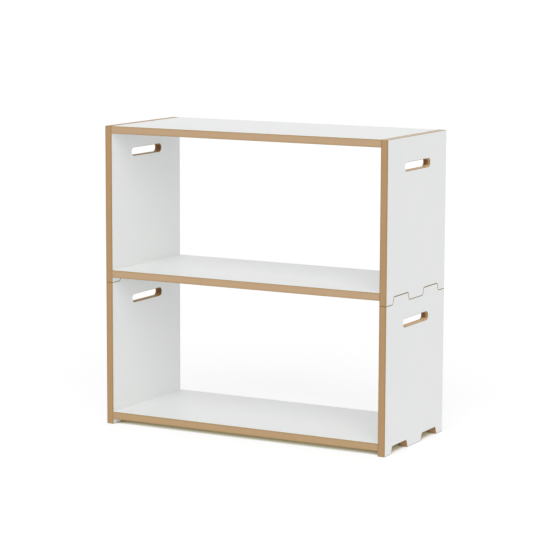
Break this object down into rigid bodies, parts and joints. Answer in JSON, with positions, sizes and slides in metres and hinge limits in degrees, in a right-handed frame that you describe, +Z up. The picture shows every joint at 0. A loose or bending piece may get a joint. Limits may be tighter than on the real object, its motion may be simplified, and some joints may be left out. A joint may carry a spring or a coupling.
{
  "type": "stacking bookcase",
  "caption": "Open bookcase of two stacked modules in white board with bare edges; side panels interlock by tongues and notches and have hand slots.",
  "frame": {"origin": "on the floor, under the middle of the case", "axes": "+X to the case's right along its width, +Y to the back, +Z up"},
  "size_m": [0.8, 0.34, 0.775],
  "materials": {
    "coated_board": "white coated faces, bare oiled edges",
    "zinc_cam": "die-cast zinc",
    "steel_bolt": "zinc plated",
    "beech_dowel": "plain"
  },
  "bodies": {
    "lower_module": {"lower_left_side": "coated_board", "lower_right_side": "coated_board", "bottom_shelf": "coated_board", "bottom_shelf_cam_bolts": "steel_bolt", "bottom_shelf_left_dowels": "beech_dowel", "bottom_shelf_right_dowels": "beech_dowel"},
    "upper_module": {"upper_left_side": "coated_board", "upper_right_side": "coated_board", "middle_shelf": "coated_board", "top_shelf": "coated_board", "middle_shelf_cam_bolts": "steel_bolt", "middle_shelf_left_dowels": "beech_dowel", "middle_shelf_right_dowels": "beech_dowel", "top_shelf_cam_bolts": "steel_bolt", "top_shelf_left_dowels": "beech_dowel", "top_shelf_right_dowels": "beech_dowel"},
    "bottom_shelf_left_cam": {"bottom_shelf_left_cam": "zinc_cam"},
    "bottom_shelf_right_cam": {"bottom_shelf_right_cam": "zinc_cam"},
    "middle_shelf_left_cam": {"middle_shelf_left_cam": "zinc_cam"},
    "middle_shelf_right_cam": {"middle_shelf_right_cam": "zinc_cam"},
    "top_shelf_left_cam": {"top_shelf_left_cam": "zinc_cam"},
    "top_shelf_right_cam": {"top_shelf_right_cam": "zinc_cam"}
  },
  "joints": [
    {"name": "upper_module_lift", "type": "slide", "parent": "lower_module", "child": "upper_module", "axis": [0, 0, 1], "range_m": [0, 0.12]},
    {"name": "bottom_shelf_left_cam_turn", "type": "hinge", "parent": "lower_module", "child": "bottom_shelf_left_cam", "pos_m": [-0.347, 0, 0.02], "axis": [0, 0, -1], "range_deg": [0, 180]},
    {"name": "bottom_shelf_right_cam_turn", "type": "hinge", "parent": "lower_module", "child": "bottom_shelf_right_cam", "pos_m": [0.347, 0, 0.02], "axis": [0, 0, -1], "range_deg": [0, 180]},
    {"name": "middle_shelf_left_cam_turn", "type": "hinge", "parent": "upper_module", "child": "middle_shelf_left_cam", "pos_m": [-0.347, 0, 0.3915], "axis": [0, 0, -1], "range_deg": [0, 180]},
    {"name": "middle_shelf_right_cam_turn", "type": "hinge", "parent": "upper_module", "child": "middle_shelf_right_cam", "pos_m": [0.347, 0, 0.3915], "axis": [0, 0, -1], "range_deg": [0, 180]},
    {"name": "top_shelf_left_cam_turn", "type": "hinge", "parent": "upper_module", "child": "top_shelf_left_cam", "pos_m": [-0.347, 0, 0.763], "axis": [0, 0, -1], "range_deg": [0, 180]},
    {"name": "top_shelf_right_cam_turn", "type": "hinge", "parent": "upper_module", "child": "top_shelf_right_cam", "pos_m": [0.347, 0, 0.763], "axis": [0, 0, -1], "range_deg": [0, 180]}
  ]
}
